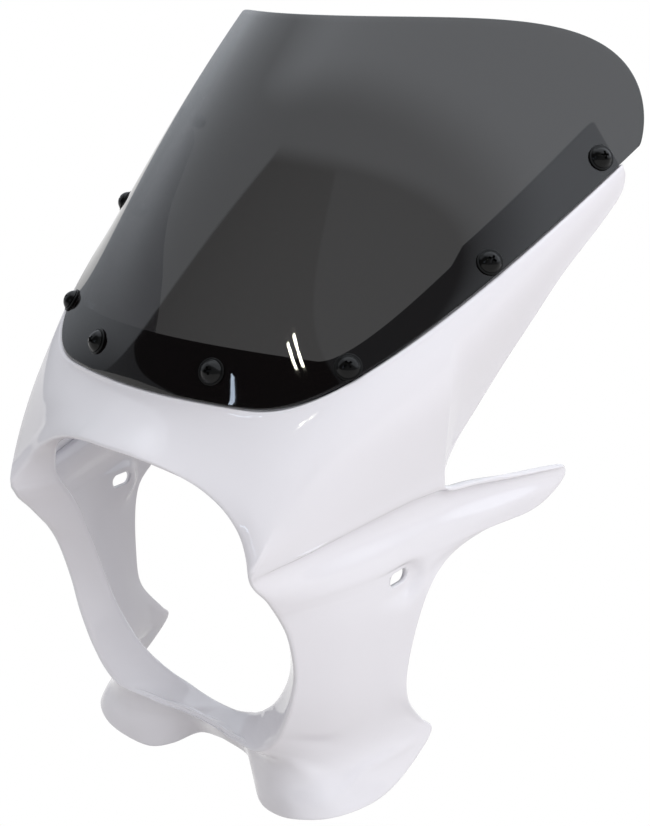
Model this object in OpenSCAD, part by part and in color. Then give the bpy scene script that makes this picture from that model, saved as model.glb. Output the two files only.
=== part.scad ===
// Headlight cowl: a one-piece moulded skin round a motorbike's headlight, with a smoked screen screwed on.
// X runs across (right side positive), the nose faces -Y, Z is up.
// The origin is midway between the two side slots.

/* [Mounting] */
// Distance between the outer faces of the two side pads
slot_spacing = 220; // [200:1:250]
// Width of each side slot
slot_w = 8.4; // [6:0.1:11]
// Length of each side slot, along the bike
slot_len = 15; // [12:0.5:24]
// Height of the flat floor in the recess round each slot
pad_w = 17; // [15:0.5:20]

/* [Skin] */
// Thickness of the moulded skin
skin_t = 3; // [2.4:0.1:4]
// Forward place of the lamp opening's upper lip
lip_y = -103.5; // [-112:0.5:-95]
// Height of the lamp opening's arch above the slots
arch_h = 80.5; // [72:0.5:90]
// Half width of the arch at its corners
arch_w = 91; // [86:0.5:96]
// Rearward reach of each side winglet's tip
winglet_y = 129; // [100:1:145]
// Spread of each winglet's tip from the middle
winglet_x = 137; // [128:1:146]
// Height of the chin flaps' lowest point
flap_z = -150; // [-160:1:-140]

/* [Screen] */
// Thickness of the smoked sheet
screen_t = 3; // [2:0.1:4]
// Forward place of the screen's foot at the middle
screen_y = -78; // [-84:0.5:-72]
// Height of the screen's foot at the middle
screen_z = 103; // [98:0.5:108]
// Height that the screen rises over its foot
screen_h = 180; // [150:1:210]
// Distance that the screen leans back over that height
screen_lean = 140; // [110:1:160]
// Half width of the screen at its widest
screen_w = 163; // [155:1:168]
// Depth of the shell's step below the screen's outer face
step_depth = 4; // [3.9:0.1:5]
// Thickness of the black masking band
band_t = 0.3; // [0.2:0.05:0.3]

/* [Fasteners] */
// Shank diameter of the screws
screw_d = 5; // [4:0.5:6]
// Diameter of the screws' domed heads
head_d = 12; // [10:0.5:14]
// Height of the screws' domed heads
head_h = 4; // [3:0.2:5]
// Outer diameter of the soft washers
washer_d = 14; // [13:0.5:16]
// Thickness of the soft washers
washer_t = 1; // [0.6:0.1:1.5]
// Width of the nuts across their flats
nut_af = 8; // [7:0.5:10]
// Height of the nuts
nut_h = 5; // [4:0.5:7]

/* [Hidden] */
half_w = slot_spacing / 2;
fit = 0.3;
hole_d = screw_d + 2 * fit;
band_depth = screen_t + fit;
// Fine and coarse counts: steps between two stations, and steps across each stretch of the skin
u_steps = 2;
c_steps = 2;
face_steps = 6;
flange_steps = 3;
strip_steps = 2;
edge_steps = 3;

// Small helpers
function mix(a, b, t) = a + (b - a) * t;
function unit(v) = v / norm(v);
function flipx(p) = [p[0] == 0 ? 0 : -p[0], p[1], p[2]];
function clampi(i, n) = min(max(i, 0), n);

// Smooth curve through a list of points, at station s (0 to last)
function knot(a, b, tension = 0.5) = pow(max(norm(a - b), 0.001), tension);
function piece(p0, p1, p2, p3, f) =
    let (t1 = knot(p0, p1), t2 = t1 + knot(p1, p2), t3 = t2 + knot(p2, p3), t = mix(t1, t2, f))
    let (a1 = mix(p0, p1, t / t1), a2 = mix(p1, p2, (t - t1) / (t2 - t1)))
    let (a3 = mix(p2, p3, (t - t2) / (t3 - t2)))
    let (b1 = mix(a1, a2, t / t2), b2 = mix(a2, a3, (t - t1) / (t3 - t1)))
    mix(b1, b2, (t - t1) / (t2 - t1));
function curve(list, s) =
    let (n = len(list) - 1, i = clampi(floor(s), n - 1), f = s - i)
    let (p1 = list[i], p2 = list[i + 1])
    let (p0 = i > 0 ? list[i - 1] : 2 * p1 - p2, p3 = i + 2 <= n ? list[i + 2] : 2 * p2 - p1)
    piece(p0, p1, p2, p3, f);
function rail(list, s) = let (p = curve([for (v = list) [v]], s)) p[0];

// The screen's outer face: at each height its plan is a parabola, y = nose + fullness * x * x
function rise(z) = max(z - screen_z, 0) / screen_h;
function nose(z) = screen_y + screen_lean * pow(rise(z), 1.45);
function fullness(z) = 0.0056 - 0.0032 * exp(-rise(z) * 4);
function face(x, z) = [x, nose(z) + fullness(z) * x * x, z];
function face_normal(x, z) =
    unit(cross(face(x + 0.5, z) - face(x - 0.5, z), face(x, z + 0.5) - face(x, z - 0.5)));
function sunk(q, depth) = face(q[0], q[1]) - face_normal(q[0], q[1]) * depth;

// Front-view outlines on that face, drawn at their usual size and stretched with the screen:
// the screen's foot, its top with round corners, and the band's upper edge
function kx(x) = x * 163 / screen_w;
function kz(z) = screen_z + z * screen_h / 180;
function foot_z(x) = kz(106 * pow(max(kx(x) - 60, 0) / 100, 2.4));
function top_z(x) = kz(113 + 67 * pow(max(1 - pow(kx(x) / 163.25, 6), 0), 0.68));
function band_low(x) = 24.5 + 0.0666 * pow(max(x - 88, 0), 1.83) + 4.5 * max(1 - pow(x / 88, 2), 0);
function band_jog(x) = x > 121.5 ? 8 * max(1 - (x - 121.5) / 24, 0) : 0;
function band_z(x) = kz(min(band_low(kx(x)) + band_jog(kx(x)), 128 - 1.52 * (kx(x) - 145.5)));

// Points drawn for the usual slot spacing are spread with it
function spread(p) = [p[0] * half_w / 110, p[1], p[2]];

// Lower border of the upper skin: the arch, the crease back from its corner, the arm's rear edge
arch_fall = [[0, 0, 0], [18, 1.5, 0.9], [31.5, 5, 4.5], [46, 9, 9.5], [58, 11.5, 15],
    [70, 12.5, 22.7], [79.5, 12, 32.5], [86.5, 8.5, 42], [91, 4.5, 49.5]];
arch = [for (p = arch_fall) [p[0] * arch_w / 91, lip_y + p[1], arch_h - p[2]]];
crease_back = [[98, -64, 32.8], [105.2, -32, 37.8], [113.5, 4, 43], [118, 28.4, 45]];
crease = [arch[8], for (p = crease_back) spread(p)];
arch_n = 5;
crease_n = len(crease) - 1;
arm_n = 9;
upper_n = arch_n + crease_n + arm_n;
function lower_border(s) =
    s <= arch_n ? curve(arch, s * 8 / arch_n)
    : s <= arch_n + crease_n ? curve(crease, s - arch_n)
    : curve(arm_rear, s - arch_n - crease_n);

// Where each station of the upper skin meets the screen's foot, and where its flange ends
seam_x = [0, 22, 44, 64, 83, 101, 108, 114.5, 121, 127.5, 128.7, 130, 134, 139.5, 144.5, 149.5,
    156, 159, 160.4];
rim_x = [0, 24, 45, 61, 76, 92, 97, 102.5, 109, 115.5, 117, 118.5, 122.5, 127.5, 133, 138.5,
    144, 145.5, 147];
swell = [[0, 0, -1], [0, 0, -1], [0.5, 0, 0], [2, 0, 0], [6, -2, 1], [7, -1, 2], [4, -1, 0], [3, -1, 0],
    [2, 0, 0], [1, 0, 0], [1, 0, 0], [1, 0, 0], [0.5, 0, 0], [0.5, 0, 0],
    [0, 0, 0], [0, 0, 0], [0, 0, 0], [0, 0, 0], [0, 0, 0]];
function seam(s) = let (x = rail(seam_x, s) * screen_w / 163) [x, foot_z(x)];
function seam_point(s) = let (q = seam(s)) face(q[0], q[1]);
function rim(s, short = 1.5) = let (x = rail(rim_x, s) * screen_w / 163) [x, band_z(x) - short];

// How far the arm's rear edge lies from the screen's foot at the same station
arm_behind = [[-10.7, 16.2, -94.6], [-11, 20.5, -82], [-10, 23, -68.5], [-7.5, 19.8, -53.6],
    [-4.5, 12.8, -43.3], [-1.5, 9.4, -30.2], [1, 9.6, -18.1], [1.5, 8.3, -11.5], [1.8, 0.7, -5]];
arm_rear = [crease[4], for (k = [0:8]) arm_behind[k] + seam_point(10 + k)];

function bezier(a, b, c, d, t) =
    let (u = 1 - t) u * u * u * a + 3 * u * u * t * b + 3 * u * t * t * c + t * t * t * d;
function upper_point(s, t) =
    let (a = lower_border(s), q = seam(s), d = face(q[0], q[1]), n = face_normal(q[0], q[1]))
    let (w = d - a, along = unit(w - n * (w * n)))
    bezier(a, a + w / 3 + curve(swell, s), d - along * norm(w) / 3, d, t);
function flange_point(s, t, depth = 0) = sunk(mix(seam(s), rim(s), t), depth);

// Stations of the lower skin, from the arch's corner down to the middle of the chin:
// inner edge of the return, ridge, belly, outer edge, fullness before and after the belly
lower_drawn = [
    [[75, -74, 33], crease[0], crease[4], [winglet_x, winglet_y - 3, 31.8], [0, 0, 0], [0, 0, -0.8]],
    [[75, -72.5, 29.8], [90.4, -97.3, 27.2], [115.2, 29.5, 37.5], [winglet_x, winglet_y, 29.6],
        [0.6, 5.4, 2.3], [-1.6, 0, -0.5]],
    [[75, -69.5, 25.5], [91, -94.5, 22.5], [114.4, 29, 30], [winglet_x + 0.2, winglet_y + 0.7, 26.5],
        [0.2, 5, 1.6], [-1.4, 0, -0.5]],
    [[75, -62, 12], [91.5, -87.5, 15], [116, 25, 21], [winglet_x - 0.7, winglet_y - 5, 20.3],
        [2.5, 3.4, -0.2], [0.8, 0, 0]],
    [[75, -58, 1], [90.8, -82, 8], [116.4, 20.5, 11], [winglet_x - 4.5, winglet_y - 25, 11.3],
        [4, 2.4, -0.4], [0, 0, 1]],
    [[74.9, -56.5, -4], [90.4, -79, 4], [116.2, 19, 5.5], [winglet_x - 13, winglet_y - 62, 9.6],
        [4.2, 2.2, 0], [0, 0, 0.5]],
    [[74.8, -55, -9], [90, -76, 0], [115.8, 16, 0], [117.5, 38, 1], [4.4, 2, 0], [0, 0, 0]],
    [[74.5, -51, -21], [90.2, -69, -13], [113.8, 4, -11], [116.5, 20, -13], [4.5, 2, 0], [0, 0, 0]],
    [[72, -45.5, -44], [88.5, -61.5, -40], [108, -6, -50], [111, 10, -58], [4, 1, 0], [0, 0, 0]],
    [[66.5, -42.6, -60], [84, -60.3, -60], [105, -5, -73], [110, 12, -80], [4, 0, 0], [0, 0, 0]],
    [[57.5, -40, -75], [77, -59.4, -78], [101, -2, -95], [109, 29, -103], [4, -1, 0], [0, 0, 0]],
    [[53, -39.2, -80.5], [73, -58.9, -85.5], [98, -4, -104], [110.8, 36.5, -111], [3, 0, 0], [1, 0, 1]],
    [[48.5, -37.8, -85], [69, -58.7, -91], [97.5, -10, -111], [110.5, 22, -123.5],
        [2.5, 0.5, 0], [1.5, -0.5, 0]],
    [[44, -36.3, -89], [64.5, -58.4, -95.5], [93, -22, -119], [107.5, -8, -136],
        [1.5, 1.5, 0.5], [1.5, -1.5, -0.5]],
    [[41, -34.8, -91.7], [60, -58.2, -98.7], [85, -37, -121], [96, -38, -138], [1, 3, 1], [0.5, -1, 0]],
    [[38, -33.5, -94], [55, -57.6, -101.5], [72, -44.5, -123], [78, -48.5, flap_z + 8.5],
        [0.5, 4, 1.5], [0, -0.5, 0]],
    [[32, -30.8, -98.3], [48, -56, -103.5], [57, -45.5, -125], [60, -46.5, flap_z + 2.5],
        [0.5, 4.5, 2], [0, -0.5, 0]],
    [[24, -27, -103], [37, -52.5, -106], [43, -41, -124], [45, -42, flap_z + 0.5],
        [0.6, 4.5, 3], [0, 0, 0]],
    [[16.5, -25, -106.5], [26.5, -49.8, -108], [31, -36.5, -123.5], [33.5, -34, -146.3],
        [0.3, 3.2, 2.2], [0, 0, 0]],
    [[9, -23, -109.3], [16, -46.5, -109.3], [19.5, -31, -121.5], [21, -24, -138.7],
        [0, 2, 1.5], [0, 0, 0]],
    [[0, -22, -110.5], [0, -44.5, -110], [0, -33, -121], [0, -25.5, -133], [0, 1, 1], [0, 0, 0]]
];
lower = [for (i = [0:len(lower_drawn) - 1]) [for (k = [0:5])
    i == 0 && (k == 1 || k == 2) || k > 3 ? lower_drawn[i][k] : spread(lower_drawn[i][k])]];
lower_n = len(lower) - 1;
function line_of(k) = [for (row = lower) row[k]];
function lower_knots(s) =
    let (r = curve(line_of(1), s), n = curve(line_of(2), s), o = curve(line_of(3), s))
    let (b = curve(line_of(4), s), c = curve(line_of(5), s))
    [r, mix(r, n, 0.45) + b, n, mix(n, o, 0.5) + c, o];

// Grids of points on the outer face
u1 = upper_n * u_steps;
v_flange = face_steps + 1;
v1 = v_flange + flange_steps;
upper_grid = [for (i = [0:u1]) let (s = i / u_steps) [
    for (j = [0:face_steps]) upper_point(s, j / face_steps),
    for (j = [0:flange_steps]) flange_point(s, mix(0.01, 1, j / flange_steps))]];
strip_grid = [for (i = [0:arch_n * u_steps]) let (s = i / u_steps, r = lower_border(s), e = arch_return(s))
    [for (k = [0:strip_steps]) mix(e, r, k / strip_steps)]];
// Inner edge of the lip's return along the arch: a plain edge at the top, widening to the corner
function arch_return(s) =
    let (w = pow(s / arch_n, 2.2), r = lower_border(s))
    r + (lower[0][0] - crease[0]) * w + [0, -0.5, -2] * (1 - w);

// The winglet's upper edge drops by this much at a distance d behind the arm
function notch(d) = d > 0 ? 4.2 * (1 - exp(-d / 2.5)) * exp(-d / 22) : 0;
belly_steps = crease_n * u_steps;
w1 = strip_steps + belly_steps + edge_steps * 2;
function lower_row(s) =
    let (k = lower_knots(s), e = curve(line_of(0), s))
    let (w = pow(max(1 - s, 0), 2), k0 = lower_knots(0))
    [for (j = [0:strip_steps - 1]) mix(e, k[0], j / strip_steps),
     for (j = [0:belly_steps - 1]) let (f = 2 * j / belly_steps)
        curve(k, f) + (curve(crease, j / u_steps) - curve(k0, f)) * w,
     for (j = [0:edge_steps * 2]) let (q = curve(k, 2 + j / edge_steps))
        q - [0, 0, notch(q[1] - k[2][1]) * max(1 - s, 0)]];
lower_grid = [for (i = [0:lower_n * c_steps]) lower_row(i / c_steps)];

// Face normals on a grid, by differences: they point out of the skin
function grid_normal(g, i, j, mirror_start = false, mirror_end = false) =
    let (m = len(g) - 1, n = len(g[0]) - 1)
    let (a = i > 0 ? g[i - 1][j] : mirror_start ? flipx(g[1][j]) : g[0][j])
    let (b = i < m ? g[i + 1][j] : mirror_end ? flipx(g[m - 1][j]) : g[m][j])
    unit(cross(b - a, g[i][min(j + 1, n)] - g[i][max(j - 1, 0)]));
function upper_normal(i, j) = grid_normal(upper_grid, min(i, u1 - 3), j, true, false);
function strip_normal(i, k) = grid_normal(strip_grid, i, k, true, false);
function lower_normal(i, j) = grid_normal(lower_grid, i, j, false, true);
ic = arch_n * u_steps;
in = ic + belly_steps;
is = strip_steps;

// Inner face: the outer one moved in along the normal, with shared borders moved by the mean of both sides
function upper_depth(j) = skin_t + (j < face_steps ? 0 : step_depth);
function upper_inner(i, j) =
    let (a = upper_normal(i, j))
    let (n = j > 0 || i > in ? a
        : i < ic ? unit(a + strip_normal(i, is))
        : i > ic ? unit(a + lower_normal(0, is + i - ic))
        : unit(a + strip_normal(ic, is) + lower_normal(0, is)))
    j < v_flange ? upper_grid[i][j] - n * upper_depth(j)
    : flange_at(i, j, step_depth + skin_t);
function strip_inner(i, k) =
    k == is ? upper_inner(i, 0)
    : i < ic ? strip_grid[i][k] - strip_normal(i, k) * skin_t
    : lower_inner(0, k);
function lower_inner(i, j) =
    i > 0 ? lower_grid[i][j] - lower_normal(i, j) * skin_t
    : j < is ? lower_grid[0][j] - unit(strip_normal(ic, j) + lower_normal(0, j)) * skin_t
    : j <= is + belly_steps ? upper_inner(ic + j - is, 0)
    : lower_grid[0][j] - lower_normal(0, j) * skin_t;
// The flange's outer face lies one step below the screen's face
function flange_at(i, j, depth) =
    flange_point(i / u_steps, mix(0.01, 1, (j - v_flange) / flange_steps), depth);
upper_outer = [for (i = [0:u1]) [for (j = [0:v1])
    j < v_flange ? upper_grid[i][j] : flange_at(i, j, step_depth)]];
upper_in = [for (i = [0:u1]) [for (j = [0:v1]) upper_inner(i, j)]];
strip_in = [for (i = [0:ic]) [for (k = [0:is]) strip_inner(i, k)]];
lower_in = [for (i = [0:lower_n * c_steps]) [for (j = [0:w1]) lower_inner(i, j)]];

// Four-cornered faces of a grid, and of a rim between an outer and an inner line
function cells(g) = [for (i = [0:len(g) - 2]) for (j = [0:len(g[0]) - 2])
    [g[i][j], g[i][j + 1], g[i + 1][j + 1], g[i + 1][j]]];
function back(list) = [for (q = list) [q[3], q[2], q[1], q[0]]];
function ribbon(a, b) = [for (i = [0:len(a) - 2]) [a[i], a[i + 1], b[i + 1], b[i]]];
function flip(list) = [for (q = list) [for (k = [3:-1:0]) flipx(q[k])]];
function column(g, j, from = 0) = [for (i = [from:len(g) - 1]) g[i][j]];
function stretch(row, from) = [for (j = [from:len(row) - 1]) row[j]];

half_shell = concat(
    cells(upper_outer), back(cells(upper_in)),
    cells(strip_grid), back(cells(strip_in)),
    cells(lower_grid), back(cells(lower_in)),
    back(ribbon(column(upper_outer, v1), column(upper_in, v1))),
    ribbon(column(upper_outer, 0, in), column(upper_in, 0, in)),
    ribbon(upper_outer[u1], upper_in[u1]),
    ribbon(column(strip_grid, 0), column(strip_in, 0)),
    ribbon(column(lower_grid, 0), column(lower_in, 0)),
    back(ribbon(stretch(lower_grid[0], is + belly_steps), stretch(lower_in[0], is + belly_steps))),
    back(ribbon(column(lower_grid, w1), column(lower_in, w1))));

// Screen and band: the columns run up from the foot
edge_gap = 0.6;
screen_n = 18;
screen_rows = 12;
function screen_x(i) = screen_w * sin(90 * i / screen_n);
function screen_at(i, j, depth) =
    let (x = screen_x(i), top = top_z(x), low = min(foot_z(x) + edge_gap * (1 + abs(x) / 110), top))
    sunk([x, i == screen_n ? (low + top) / 2 : mix(low, top, pow(j / screen_rows, 1.6))], depth);
function screen_side(depth) = [for (i = [0:screen_n]) [for (j = [0:screen_rows]) screen_at(i, j, depth)]];
function band_side(depth) = [for (i = [0:u1]) let (a = seam(i / u_steps), b = rim(i / u_steps, 0))
    [for (j = [0:flange_steps]) sunk(mix(a, b, mix(0.05, 1, j / flange_steps)), depth)]];
function half_sheet(a, b) = let (n = len(a[0]) - 1) concat(
    cells(a), back(cells(b)), ribbon(column(a, 0), column(b, 0)),
    back(ribbon(column(a, n), column(b, n))), ribbon(a[len(a) - 1], b[len(b) - 1]));

// Screw places, nose to top, as across and up on the screen's face
screw_at = [[42, 15.7], [101.6, 21.6], [133.3, 65.1], [152.4, 110.3]];
function screw_spot(k) = [screw_at[k][0] * screen_w / 163, kz(screw_at[k][1])];

module at_screw(k, side) {
    q = screw_spot(k - 1);
    n = face_normal(q[0], q[1]);
    mirror([side < 0 ? 1 : 0, 0, 0]) translate(face(q[0], q[1]))
        rotate([0, acos(n[2]), atan2(n[1], n[0])]) children();
}
module holes(d, top, deep) {
    for (side = [-1, 1], k = [1:4])
        at_screw(k, side) translate([0, 0, -deep]) cylinder(d = d, h = deep + top, $fn = 48);
}
module solid_of(quads) {
    polyhedron(
        points = [for (q = quads) for (p = q) p],
        faces = [for (i = [0:len(quads) - 1]) let (k = 4 * i) each [[k, k + 1, k + 2], [k, k + 2, k + 3]]]);
}
module both(quads) {
    solid_of(concat(quads, flip(quads)));
}
module along_x(x0, x1, r) {
    translate([x0, 0, 0]) rotate([0, 90, 0]) cylinder(r = r, h = x1 - x0, $fn = 64);
}

// A recess with a round rear end and walls at 45 degrees: r is half its height at x0
pad_slope = 10.2;
pad_drop = 2.3;
pad_back = slot_len / 2 + 3.5;
pad_ahead = slot_len + 30;
module recess(x0, x1, r) {
    grow = x1 - x0;
    translate([x0, pad_back - pad_w / 2, -pad_drop]) {
        rotate([0, 90, 0]) cylinder(r1 = r, r2 = r + grow, h = grow, $fn = 64);
        rotate([90, 0, 0]) linear_extrude(height = pad_ahead)
            polygon([[0, -r], [grow, -r - grow], [grow, r + grow], [0, r]]);
    }
}
// Skin behind that recess, kept under the cheek's slope
module pad_behind() {
    deep = pad_ahead + washer_d;
    intersection() {
        recess(half_w - skin_t, half_w + skin_t * 3, pad_w / 2 + skin_t * 0.42);
        translate([half_w + 0.1, 0, 0]) rotate([0, 0, -90 - pad_slope])
            translate([-deep, -deep, -deep]) cube([2 * deep, deep, 2 * deep]);
    }
}
module slot() {
    run = (slot_len - slot_w) / 2;
    reach = skin_t * 4;
    for (y = [-run, run]) translate([0, y, 0]) along_x(half_w - reach, half_w + reach, slot_w / 2);
    translate([half_w - reach, -run, -slot_w / 2]) cube([2 * reach, 2 * run, slot_w]);
}

module cowl_shell() {
    color([0.93, 0.92, 0.92]) difference() {
        union() {
            both(half_shell);
            for (side = [0, 1]) mirror([side, 0, 0]) pad_behind();
        }
        for (side = [0, 1]) mirror([side, 0, 0]) {
            recess(half_w, half_w + 20, pad_w / 2);
            slot();
        }
        holes(hole_d, 4, 20);
    }
}
module windscreen() {
    color([0.12, 0.12, 0.13, 0.6]) difference() {
        both(half_sheet(screen_side(0), screen_side(screen_t)));
        holes(hole_d, 4, 20);
    }
}
module screen_band() {
    color([0.05, 0.05, 0.06]) difference() {
        both(half_sheet(band_side(band_depth), band_side(band_depth + band_t)));
        holes(hole_d, 4, 20);
    }
}

// Fasteners: a domed head with a cross recess, its shank, a soft washer and a flanged nut
head_z = 0.1 + washer_t;
nut_z = step_depth + skin_t + 0.35;
module screw() {
    dome = (head_d * head_d / 4 + head_h * head_h) / (2 * head_h);
    color([0.08, 0.08, 0.09]) difference() {
        union() {
            translate([0, 0, head_z]) intersection() {
                translate([0, 0, head_h - dome]) sphere(r = dome, $fn = 64);
                cylinder(d = head_d, h = head_h, $fn = 64);
            }
            translate([0, 0, -nut_z - nut_h - 1.5])
                cylinder(d = screw_d, h = nut_z + nut_h + 2 + head_z, $fn = 48);
        }
        for (a = [0, 90]) rotate([0, 0, a])
            translate([-head_d * 0.22, -head_d * 0.06, head_z + head_h * 0.45])
                cube([head_d * 0.44, head_d * 0.12, head_h]);
    }
}
module washer() {
    color([0.1, 0.1, 0.1]) translate([0, 0, 0.05]) difference() {
        cylinder(d = washer_d, h = washer_t, $fn = 64);
        translate([0, 0, -1]) cylinder(d = screw_d + fit, h = washer_t + 2, $fn = 48);
    }
}
module nut() {
    color([0.6, 0.6, 0.62]) translate([0, 0, -nut_z - nut_h]) difference() {
        union() {
            cylinder(d = nut_af / cos(30), h = nut_h, $fn = 6);
            translate([0, 0, nut_h - 1]) cylinder(d = nut_af + 3, h = 1, $fn = 64);
        }
        translate([0, 0, -1]) cylinder(d = screw_d + 0.2, h = nut_h + 2, $fn = 48);
    }
}

module screw_right_1() {
    at_screw(1, 1) screw();
}
module screw_right_2() {
    at_screw(2, 1) screw();
}
module screw_right_3() {
    at_screw(3, 1) screw();
}
module screw_right_4() {
    at_screw(4, 1) screw();
}
module screw_left_1() {
    at_screw(1, -1) screw();
}
module screw_left_2() {
    at_screw(2, -1) screw();
}
module screw_left_3() {
    at_screw(3, -1) screw();
}
module screw_left_4() {
    at_screw(4, -1) screw();
}
module washer_right_1() {
    at_screw(1, 1) washer();
}
module washer_right_2() {
    at_screw(2, 1) washer();
}
module washer_right_3() {
    at_screw(3, 1) washer();
}
module washer_right_4() {
    at_screw(4, 1) washer();
}
module washer_left_1() {
    at_screw(1, -1) washer();
}
module washer_left_2() {
    at_screw(2, -1) washer();
}
module washer_left_3() {
    at_screw(3, -1) washer();
}
module washer_left_4() {
    at_screw(4, -1) washer();
}
module nut_right_1() {
    at_screw(1, 1) nut();
}
module nut_right_2() {
    at_screw(2, 1) nut();
}
module nut_right_3() {
    at_screw(3, 1) nut();
}
module nut_right_4() {
    at_screw(4, 1) nut();
}
module nut_left_1() {
    at_screw(1, -1) nut();
}
module nut_left_2() {
    at_screw(2, -1) nut();
}
module nut_left_3() {
    at_screw(3, -1) nut();
}
module nut_left_4() {
    at_screw(4, -1) nut();
}

cowl_shell();
windscreen();
screen_band();
screw_right_1();
screw_right_2();
screw_right_3();
screw_right_4();
screw_left_1();
screw_left_2();
screw_left_3();
screw_left_4();
washer_right_1();
washer_right_2();
washer_right_3();
washer_right_4();
washer_left_1();
washer_left_2();
washer_left_3();
washer_left_4();
nut_right_1();
nut_right_2();
nut_right_3();
nut_right_4();
nut_left_1();
nut_left_2();
nut_left_3();
nut_left_4();
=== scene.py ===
import math

import bmesh
import bpy
import numpy as np
from mathutils import Matrix, Vector
from mathutils.kdtree import KDTree


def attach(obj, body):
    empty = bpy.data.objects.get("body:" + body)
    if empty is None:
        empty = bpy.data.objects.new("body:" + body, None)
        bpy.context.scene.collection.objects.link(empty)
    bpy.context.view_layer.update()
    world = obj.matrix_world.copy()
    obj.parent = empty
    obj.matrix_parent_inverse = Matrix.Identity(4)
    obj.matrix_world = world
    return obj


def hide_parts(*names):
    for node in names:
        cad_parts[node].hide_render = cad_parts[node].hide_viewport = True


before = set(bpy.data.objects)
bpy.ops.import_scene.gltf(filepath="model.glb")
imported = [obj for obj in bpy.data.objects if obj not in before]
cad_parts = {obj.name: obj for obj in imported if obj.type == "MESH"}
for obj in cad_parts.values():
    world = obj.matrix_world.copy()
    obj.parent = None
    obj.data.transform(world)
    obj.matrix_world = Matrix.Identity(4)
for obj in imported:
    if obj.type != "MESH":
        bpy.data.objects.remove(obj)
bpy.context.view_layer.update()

# Camera: its place in metres, the ways to the right and down its picture, and its film and lens in millimetres
CAM_AT = Vector((0.4738, -0.5092, 0.3159))
CAM_RIGHT = Vector((0.775, 0.631, 0.0))
CAM_DOWN = Vector((0.212, -0.260, -0.942))
FILM_HEIGHT, LENS = 24.0, 37.772


def add_object(name, data):
    ob = bpy.data.objects.new(name, data)
    bpy.context.scene.collection.objects.link(ob)
    return ob


def place_camera():
    data = bpy.data.cameras.new("camera")
    data.sensor_fit = "VERTICAL"
    data.sensor_height = FILM_HEIGHT
    data.lens = LENS
    data.clip_start, data.clip_end = 0.01, 50.0
    camera = add_object("camera", data)
    right = CAM_RIGHT.normalized()
    up = (-CAM_DOWN - right * (-CAM_DOWN).dot(right)).normalized()
    away = right.cross(up)
    camera.matrix_world = Matrix.Translation(CAM_AT) @ Matrix((right, up, away)).transposed().to_4x4()
    bpy.context.scene.camera = camera


place_camera()

# Sizes, as in the part's source, in millimetres
HALF_W = 110.0
SKIN_T = 3.0
LIP_Y, ARCH_H = -103.5, 80.5
WINGLET_X, WINGLET_Y, FLAP_Z = 137.0, 129.0, -150.0
SCREEN_T, SCREEN_Y, SCREEN_Z = 3.0, -78.0, 103.0
SCREEN_H, SCREEN_LEAN, SCREEN_W = 180.0, 140.0, 163.0
STEP_DEPTH, BAND_T, FIT = 4.0, 0.3, 0.3
SCREW_D, HEAD_D, HEAD_H = 5.0, 12.0, 4.0
WASHER_D, WASHER_T, NUT_H = 14.0, 1.0, 5.0
PAD_W, PAD_DROP, SLOT_W, SLOT_LEN = 17.0, 2.3, 8.4, 15.0
# Steps of the skin's grids: along a station, and across the face, the step, the flange, the lip and the edge
U_STEPS, C_STEPS = 10, 10
FACE_STEPS, WALL_STEPS, FLANGE_STEPS, STRIP_STEPS, EDGE_STEPS = 28, 3, 12, 8, 14
SHARP_ANGLE = math.radians(50)
MIRROR = np.array((-1.0, 1.0, 1.0))


def arr(*v):
    return np.array(v, float)


def unit(v):
    return v / (np.linalg.norm(v, axis=-1, keepdims=True) + 1e-12)


def smoothstep(a, b, v):
    t = np.clip((v - a) / (b - a), 0, 1)
    return t * t * (3 - 2 * t)


def hump(rising, falling, v):
    """from 0 up to 1 over the first two values, and back down to 0 over the last two"""
    return smoothstep(*rising, v) * (1 - smoothstep(*falling, v))


def knot(a, b):
    return max(float(np.linalg.norm(a - b)), 0.001) ** 0.5


def curve(points, s):
    """a smooth curve through all the points, with point k at s = k"""
    n = len(points) - 1
    i = min(max(int(math.floor(s)), 0), n - 1)
    f = s - i
    p1, p2 = points[i], points[i + 1]
    p0 = points[i - 1] if i > 0 else 2 * p1 - p2
    p3 = points[i + 2] if i + 2 <= n else 2 * p2 - p1
    t1 = knot(p0, p1)
    t2 = t1 + knot(p1, p2)
    t3 = t2 + knot(p2, p3)
    t = t1 + (t2 - t1) * f
    a1 = p0 + (p1 - p0) * (t / t1)
    a2 = p1 + (p2 - p1) * ((t - t1) / (t2 - t1))
    a3 = p2 + (p3 - p2) * ((t - t2) / (t3 - t2))
    b1 = a1 + (a2 - a1) * (t / t2)
    b2 = a2 + (a3 - a2) * ((t - t1) / (t3 - t1))
    return b1 + (b2 - b1) * ((t - t1) / (t2 - t1))


def rail(values, s):
    return float(curve([arr(v) for v in values], s)[0])


# The screen's outer face: it leans back as it rises, and it sweeps back to the sides
LEAN_POWER = 1.45
SWEEP, SWEEP_LOSS, SWEEP_FADE = 0.0056, 0.0032, 4


def rise(z):
    return np.maximum(z - SCREEN_Z, 0) / SCREEN_H


def face(x, z):
    x, z = np.asarray(x, float), np.asarray(z, float)
    lean = SCREEN_LEAN * rise(z) ** LEAN_POWER
    y = SCREEN_Y + lean + (SWEEP - SWEEP_LOSS * np.exp(-rise(z) * SWEEP_FADE)) * x * x
    return np.stack([x, y, z], -1)


def face_normal(x, z):
    x, z = np.asarray(x, float), np.asarray(z, float)
    return unit(np.cross(face(x + 0.5, z) - face(x - 0.5, z), face(x, z + 0.5) - face(x, z - 0.5)))


def sunk(q, depth):
    """points (x, z) of the screen's face, moved in by a depth"""
    q = np.asarray(q, float)
    return face(q[..., 0], q[..., 1]) - face_normal(q[..., 0], q[..., 1]) * depth


DRAWN_H = 180


def on_screen(h):
    """heights over the screen's foot are drawn for a screen DRAWN_H high, and follow its real height"""
    return SCREEN_Z + h * SCREEN_H / DRAWN_H


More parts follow.
